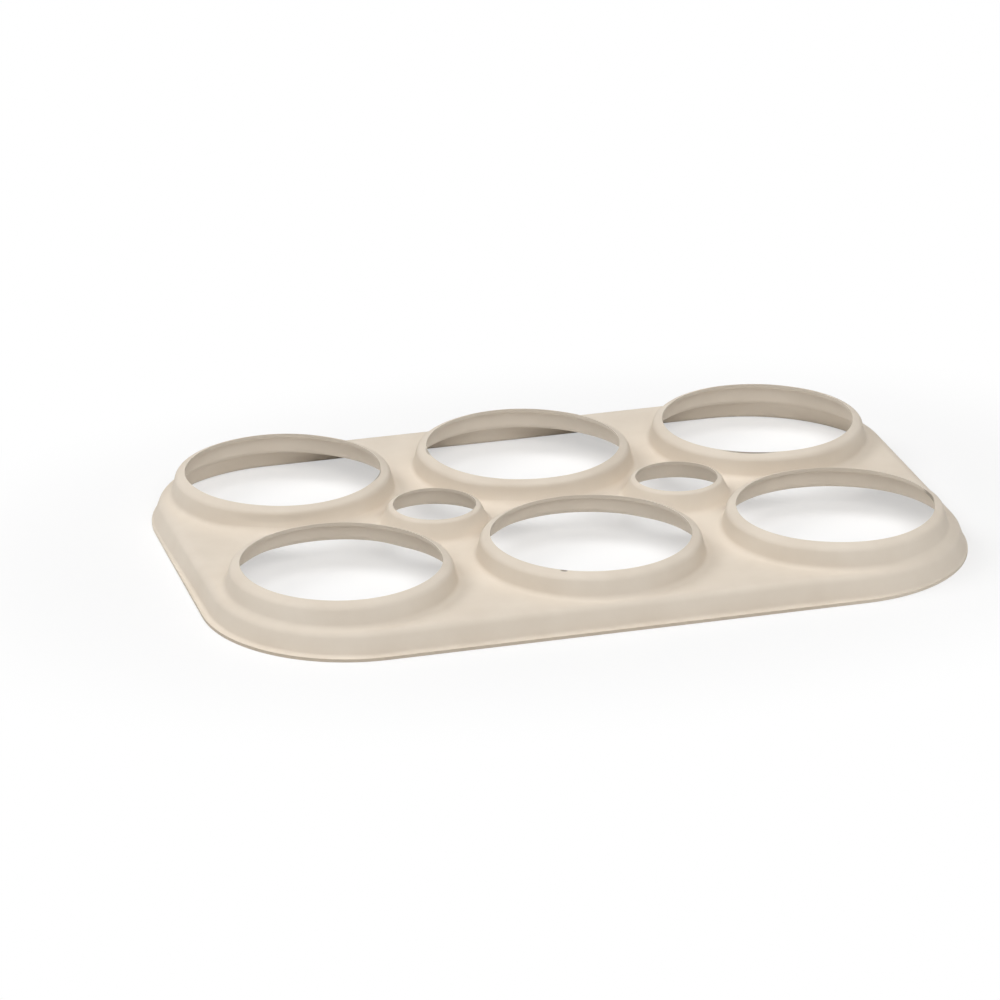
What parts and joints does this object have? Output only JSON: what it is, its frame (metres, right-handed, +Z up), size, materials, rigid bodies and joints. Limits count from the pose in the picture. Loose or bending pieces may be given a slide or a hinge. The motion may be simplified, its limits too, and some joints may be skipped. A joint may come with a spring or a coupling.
{
  "type": "can carrier ring",
  "caption": "Moulded paper-fibre sheet with raised round collars that grip drink cans by the neck, two finger holes for carrying, and a sloped skirt with a narrow foot lip.",
  "frame": {"origin": "middle of the carrier on the surface that its foot lip rests on", "axes": "+X along the row of three cans, +Y across the two rows, +Z up, the way the can tops stand out of the collars"},
  "size_m": [0.2062, 0.1384, 0.0132],
  "materials": {
    "moulded_fibre": "matt, pressed smooth, warm beige, unbleached"
  },
  "bodies": {
    "root": {"can_carrier": "moulded_fibre"}
  },
  "joints": []
}
